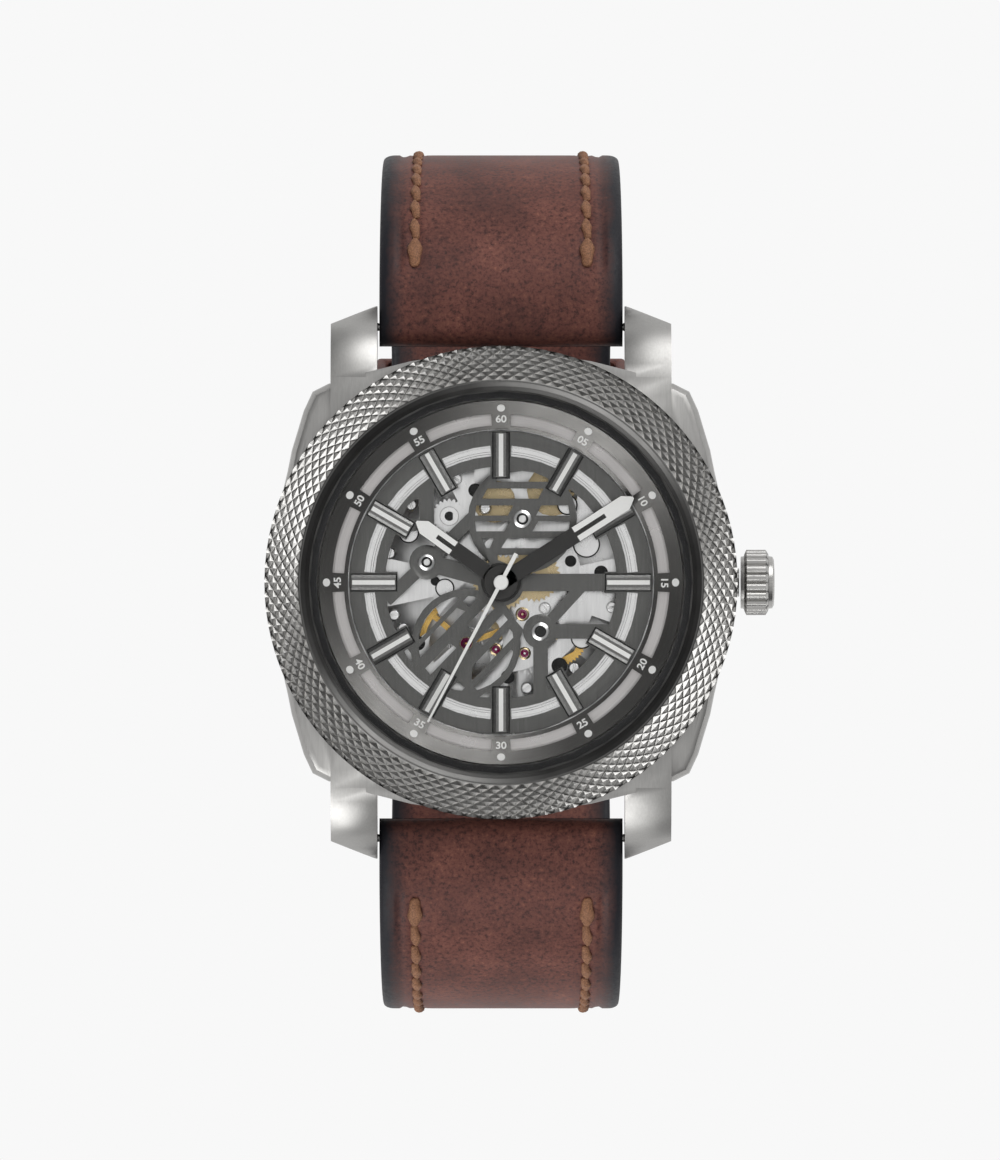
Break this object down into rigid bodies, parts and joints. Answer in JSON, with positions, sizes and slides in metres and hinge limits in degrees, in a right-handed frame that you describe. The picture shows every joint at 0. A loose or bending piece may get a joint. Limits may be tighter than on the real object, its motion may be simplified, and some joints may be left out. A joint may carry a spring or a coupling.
{
  "type": "skeleton wristwatch",
  "caption": "Automatic skeleton wristwatch on a closed leather strap, with a knurled bezel, open dial, running gear train, winding crown, rotor and pin buckle.",
  "frame": {"origin": "centre of the case back's outer face, on the axis of the hands", "axes": "+Z out through the front crystal, +Y towards twelve o'clock, +X towards the crown"},
  "size_m": [0.0454, 0.0771, 0.0657],
  "materials": {
    "steel": "satin brushed",
    "gunmetal": "brushed gunmetal plating",
    "dial_grey": "satin grey",
    "crystal": "polished",
    "gasket_rubber": "matte",
    "hand_black": "satin black",
    "hand_white": "matte white",
    "brass": "satin",
    "gilt": "polished gilt",
    "leather": "fine grain, burnished edges"
  },
  "bodies": {
    "case": {"mid_case": "gunmetal", "bezel": "gunmetal", "front_crystal": "crystal", "crystal_gasket": "gasket_rubber", "case_back": "steel", "back_crystal": "crystal", "case_back_gasket": "gasket_rubber", "crown_tube": "steel", "spring_bar_12": "steel", "spring_bar_6": "steel", "chapter_ring": "dial_grey", "movement_holder": "steel", "skeleton_dial": "dial_grey", "main_plate": "steel", "barrel_bridge": "steel", "train_bridge": "steel", "balance_cock": "steel", "pallet_bridge": "steel", "automatic_bridge": "steel", "click": "steel", "rotor_bearing": "steel", "strap_buckle_side": "leather", "strap_hole_side": "leather", "buckle_frame": "steel", "buckle_bar": "steel", "keeper_fixed": "leather"},
    "seconds": {"seconds_pinion": "steel", "seconds_hand": "hand_white"},
    "minutes": {"centre_wheel": "brass", "cannon_pinion": "steel", "minute_hand": "hand_black"},
    "hours": {"hour_wheel": "brass", "hour_hand": "hand_black"},
    "minute_work": {"minute_wheel": "brass"},
    "third": {"third_wheel": "brass"},
    "fourth": {"fourth_wheel": "gilt"},
    "escape": {"escape_wheel": "steel"},
    "barrel": {"barrel": "brass", "barrel_cover": "brass"},
    "pallets": {"pallet_fork": "steel"},
    "balance": {"balance_wheel": "gilt", "hairspring": "steel"},
    "rotor": {"rotor": "steel"},
    "reverser": {"reverser_wheel": "gilt"},
    "reduction": {"reduction_wheel": "gilt"},
    "winding": {"winding_pinion": "steel"},
    "clutch": {"clutch_wheel": "steel"},
    "crown": {"crown": "gunmetal", "winding_stem": "steel"},
    "crown_wheel": {"crown_wheel": "steel"},
    "ratchet": {"ratchet_wheel": "steel", "barrel_arbor": "steel", "mainspring": "steel"},
    "setting_lever": {"setting_lever": "steel"},
    "tongue": {"buckle_tongue": "steel"},
    "sliding_keeper": {"keeper_sliding": "leather"}
  },
  "joints": [
    {"name": "seconds_turn", "type": "hinge", "parent": "case", "child": "seconds", "pos_m": [0, 0, 0], "axis": [0, 0, -1], "continuous": true},
    {"name": "minute_turn", "type": "hinge", "parent": "case", "child": "minutes", "pos_m": [0, 0, 0], "axis": [0, 0, -1], "continuous": true},
    {"name": "hour_turn", "type": "hinge", "parent": "case", "child": "hours", "pos_m": [0, 0, 0], "axis": [0, 0, -1], "continuous": true},
    {"name": "minute_work_turn", "type": "hinge", "parent": "case", "child": "minute_work", "pos_m": [0.00293, 0.00062, 0], "axis": [0, 0, -1], "continuous": true},
    {"name": "third_turn", "type": "hinge", "parent": "case", "child": "third", "pos_m": [0.0019, -0.00282, 0], "axis": [0, 0, -1], "continuous": true},
    {"name": "fourth_turn", "type": "hinge", "parent": "case", "child": "fourth", "pos_m": [0.00485, -0.00452, 0], "axis": [0, 0, -1], "continuous": true},
    {"name": "escape_turn", "type": "hinge", "parent": "case", "child": "escape", "pos_m": [0.0021, -0.0063, 0], "axis": [0, 0, -1], "continuous": true},
    {"name": "barrel_turn", "type": "hinge", "parent": "case", "child": "barrel", "pos_m": [0.0019, 0.00565, 0], "axis": [0, 0, -1], "continuous": true},
    {"name": "pallet_rock", "type": "hinge", "parent": "case", "child": "pallets", "pos_m": [-0.00045, -0.00595, 0], "axis": [0, 0, -1], "range_deg": [-4, 4]},
    {"name": "balance_swing", "type": "hinge", "parent": "case", "child": "balance", "pos_m": [-0.0031, -0.00542, 0], "axis": [0, 0, -1], "range_deg": [-135, 135], "stiffness_Nm_per_rad": 0.0000005, "deforming": ["hairspring"]},
    {"name": "rotor_turn", "type": "hinge", "parent": "case", "child": "rotor", "pos_m": [0, 0, 0], "axis": [0, 0, -1], "continuous": true},
    {"name": "reverser_turn", "type": "hinge", "parent": "case", "child": "reverser", "pos_m": [-0.00344, 0.00183, 0], "axis": [0, 0, -1], "continuous": true},
    {"name": "reduction_turn", "type": "hinge", "parent": "case", "child": "reduction", "pos_m": [-0.00636, 0.00338, 0], "axis": [0, 0, -1], "continuous": true},
    {"name": "crown_turn", "type": "hinge", "parent": "case", "child": "winding", "pos_m": [0.0084, 0, 0.0052], "axis": [1, 0, 0], "continuous": true},
    {"name": "crown_pull", "type": "slide", "parent": "winding", "child": "crown", "axis": [1, 0, 0], "range_m": [0, 0.0012]},
    {"name": "clutch_slide", "type": "slide", "parent": "winding", "child": "clutch", "axis": [-1, 0, 0], "range_m": [0, 0.0009]},
    {"name": "crown_wheel_turn", "type": "hinge", "parent": "case", "child": "crown_wheel", "pos_m": [0.008, 0.0029, 0], "axis": [0, 0, -1], "continuous": true},
    {"name": "ratchet_turn", "type": "hinge", "parent": "case", "child": "ratchet", "pos_m": [0.0019, 0.00565, 0], "axis": [0, 0, -1], "continuous": true},
    {"name": "setting_lever_turn", "type": "hinge", "parent": "case", "child": "setting_lever", "pos_m": [0.0096, -0.0024, 0], "axis": [0, 0, -1], "range_deg": [0, 30]},
    {"name": "buckle_tongue_lift", "type": "hinge", "parent": "case", "child": "tongue", "pos_m": [0, 0.0042, -0.0484], "axis": [1, 0, 0], "range_deg": [0, 6]},
    {"name": "keeper_slide", "type": "slide", "parent": "case", "child": "sliding_keeper", "axis": [0, -0.937, -0.3494], "range_m": [-0.001, 0.001]}
  ],
  "couplings": [
    {"joint": "minute_turn", "follows": "seconds_turn", "ratio": 0.016667},
    {"joint": "hour_turn", "follows": "seconds_turn", "ratio": 0.0013889},
    {"joint": "minute_work_turn", "follows": "seconds_turn", "ratio": -0.0055556},
    {"joint": "third_turn", "follows": "seconds_turn", "ratio": -0.13333},
    {"joint": "fourth_turn", "follows": "seconds_turn", "ratio": 1},
    {"joint": "escape_turn", "follows": "seconds_turn", "ratio": -9},
    {"joint": "barrel_turn", "follows": "seconds_turn", "ratio": -0.0027778},
    {"joint": "reverser_turn", "follows": "rotor_turn", "ratio": -4},
    {"joint": "reduction_turn", "follows": "rotor_turn", "ratio": 2.2857},
    {"joint": "crown_wheel_turn", "follows": "crown_turn", "ratio": 0.6},
    {"joint": "ratchet_turn", "follows": "crown_turn", "ratio": -0.4},
    {"joint": "clutch_slide", "follows": "crown_pull", "ratio": 0.7},
    {"joint": "setting_lever_turn", "follows": "crown_pull", "rad_per_m": 400}
  ]
}
